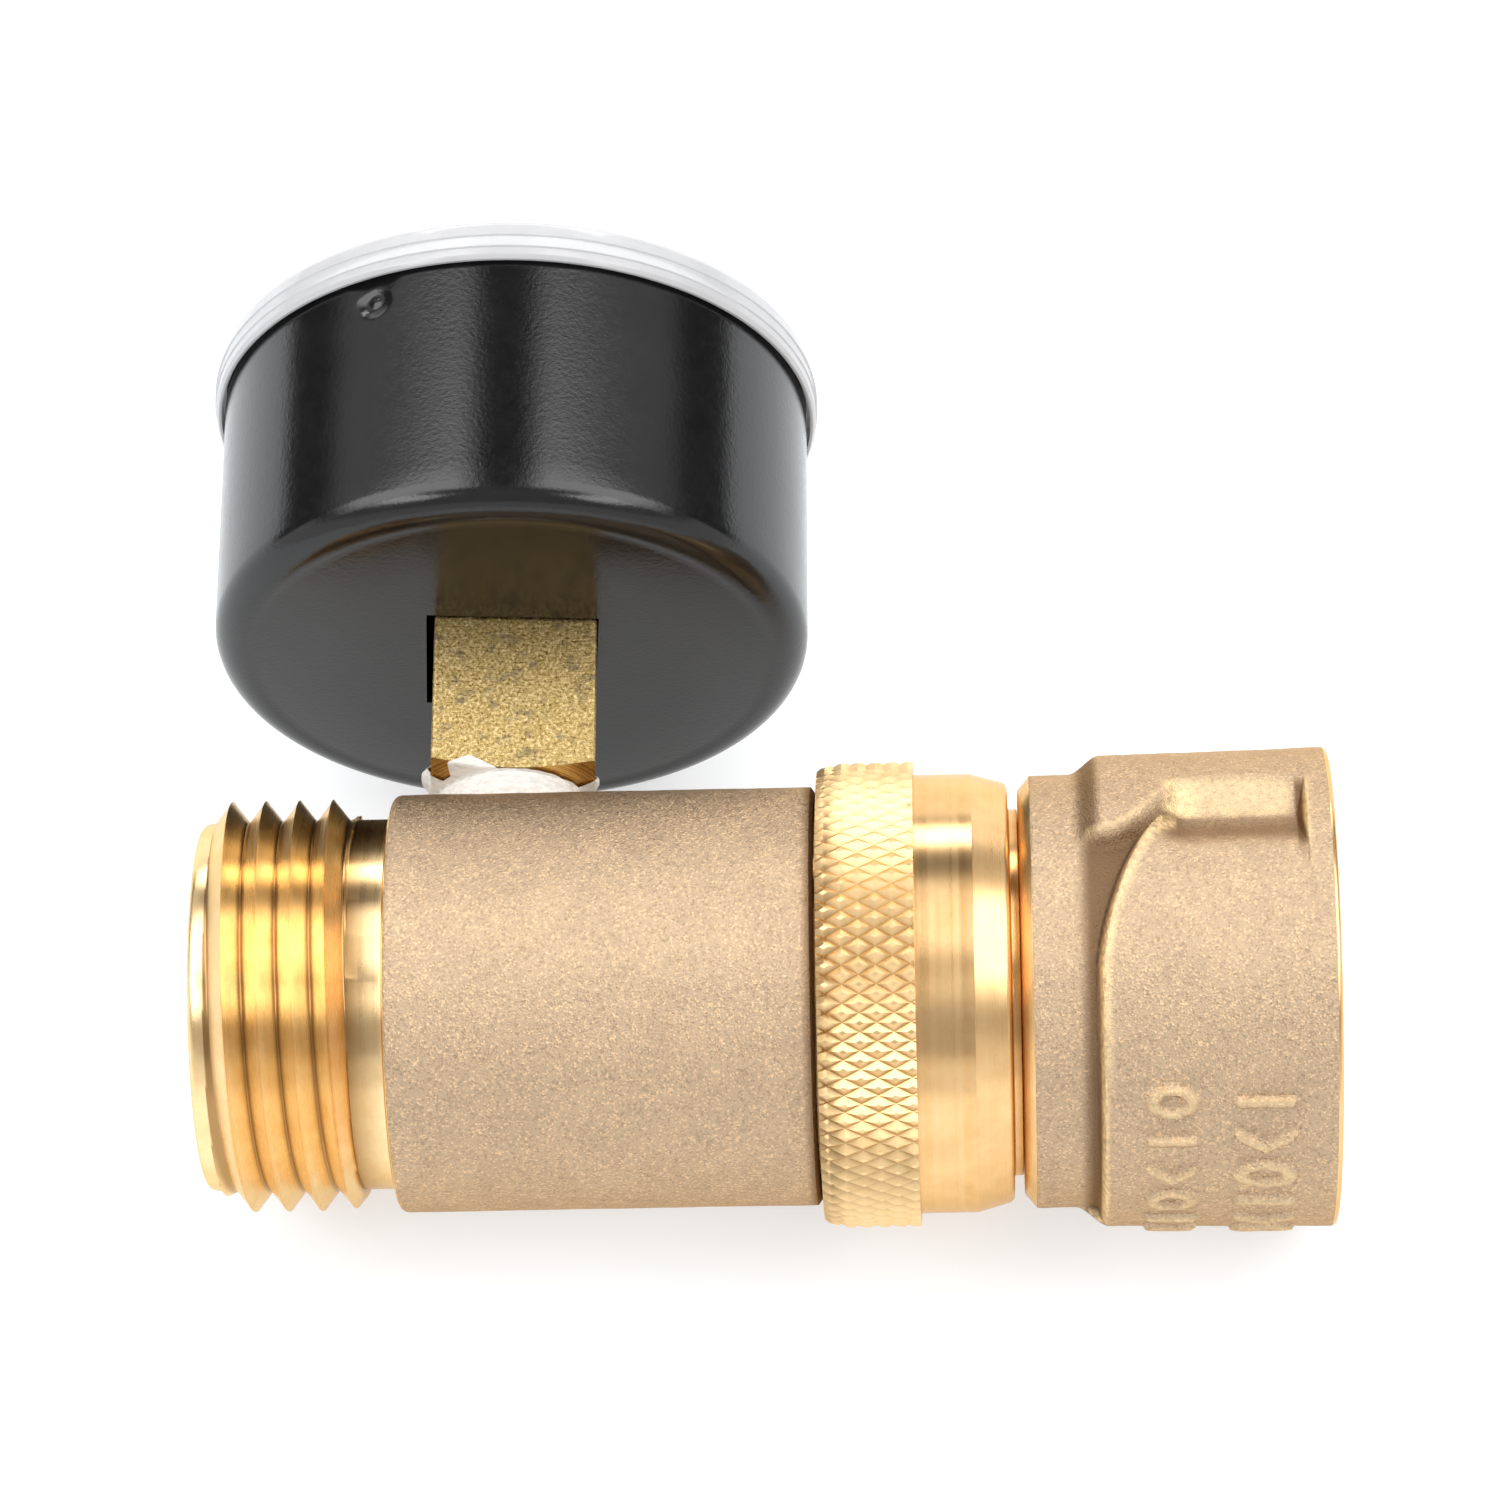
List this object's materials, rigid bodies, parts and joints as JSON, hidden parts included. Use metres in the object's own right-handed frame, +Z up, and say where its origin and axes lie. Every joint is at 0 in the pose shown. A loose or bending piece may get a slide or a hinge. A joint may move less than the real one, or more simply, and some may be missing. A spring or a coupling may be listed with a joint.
{
  "type": "water pressure regulator",
  "caption": "Inline brass garden hose pressure regulator with a knurled cap, a swivel inlet nut and a back-mounted round pressure gauge in a black case.",
  "frame": {"origin": "bottom centre of the box of the object as it lies on a table, resting on the end ring of the nut and the back edge of the gauge case", "axes": "+X along the water path, from the outlet thread to the mouth of the inlet nut; +Y horizontal, towards the gauge, whose dial faces +Y and leans back by 8.63 degrees; +Z up"},
  "size_m": [0.0746, 0.066, 0.0431],
  "materials": {
    "cast_brass": "bead-blasted cast brass, matte, with turned bright edges and thread",
    "turned_brass": "machined brass with fine lathe marks",
    "socket_brass": "raw drawn brass with scratches and faint stains",
    "spring_steel": "drawn spring wire",
    "stainless": "bright stainless steel",
    "black_paint": "satin black paint with a fine orange peel",
    "clear_lens": "clear moulded polycarbonate",
    "black_rubber": "moulded black rubber",
    "thread_tape": "wound white thread tape",
    "dial_white": "printed white dial",
    "pointer_black": "satin black"
  },
  "bodies": {
    "regulator": {"outlet_body": "cast_brass", "inlet_cap": "turned_brass", "swivel_tailpiece": "turned_brass", "movement_back_plate": "turned_brass", "movement_front_plate": "turned_brass", "movement_pillar_1": "turned_brass", "movement_pillar_2": "turned_brass", "gauge_socket": "socket_brass", "regulator_spring": "spring_steel", "hairspring": "spring_steel", "inlet_screen": "stainless", "plate_screw_1": "stainless", "plate_screw_2": "stainless", "dial_screw_1": "stainless", "dial_screw_2": "stainless", "stop_pin": "stainless", "gauge_case": "black_paint", "gauge_lens": "clear_lens", "hose_washer": "black_rubber", "cap_o_ring": "black_rubber", "stem_o_ring": "black_rubber", "lens_gasket": "black_rubber", "ptfe_tape": "thread_tape", "dial_plate": "dial_white"},
    "piston": {"piston": "turned_brass", "piston_o_ring": "black_rubber", "seat_disc": "black_rubber", "seat_screw": "stainless"},
    "nut": {"swivel_nut": "cast_brass"},
    "sector": {"sector_gear": "turned_brass", "sector_arbor": "stainless"},
    "pointer": {"pointer": "pointer_black", "pinion_arbor": "turned_brass"},
    "bourdon": {"bourdon_tube": "turned_brass", "tube_tip": "turned_brass", "link_pin": "stainless"},
    "link": {"link": "stainless"}
  },
  "joints": [
    {"name": "nut_spin", "type": "hinge", "parent": "regulator", "child": "nut", "pos_m": [0.0289, -0.01742, 0.0156], "axis": [1, 0, 0], "continuous": true},
    {"name": "piston_slide", "type": "slide", "parent": "regulator", "child": "piston", "axis": [1, 0, 0], "range_m": [0, 0.0015], "stiffness_N_per_m": 1500, "springref_m": -0.004, "deforming": ["regulator_spring"]},
    {"name": "sector_turn", "type": "hinge", "parent": "regulator", "child": "sector", "pos_m": [-0.01665, 0.01705, 0.01173], "axis": [0, 0.9887, 0.1501], "range_deg": [0, 33.75], "stiffness_Nm_per_rad": 0.02, "springref_deg": -5.73},
    {"name": "pointer_turn", "type": "hinge", "parent": "regulator", "child": "pointer", "pos_m": [-0.01665, 0.02015, 0.02131], "axis": [0, 0.9887, 0.1501], "range_deg": [-270, 0]},
    {"name": "bourdon_flex", "type": "hinge", "parent": "regulator", "child": "bourdon", "pos_m": [-0.01303, 0.01388, 0.00667], "axis": [0, 0.9887, 0.1501], "range_deg": [0, 6]},
    {"name": "link_turn", "type": "hinge", "parent": "bourdon", "child": "link", "pos_m": [-0.03065, 0.01442, 0.02043], "axis": [0, 0.9887, 0.1501], "range_deg": [-6, 0]}
  ],
  "couplings": [
    {"joint": "pointer_turn", "follows": "sector_turn", "ratio": -8},
    {"joint": "bourdon_flex", "follows": "sector_turn", "ratio": 0.1777},
    {"joint": "link_turn", "follows": "sector_turn", "ratio": -0.1777}
  ]
}
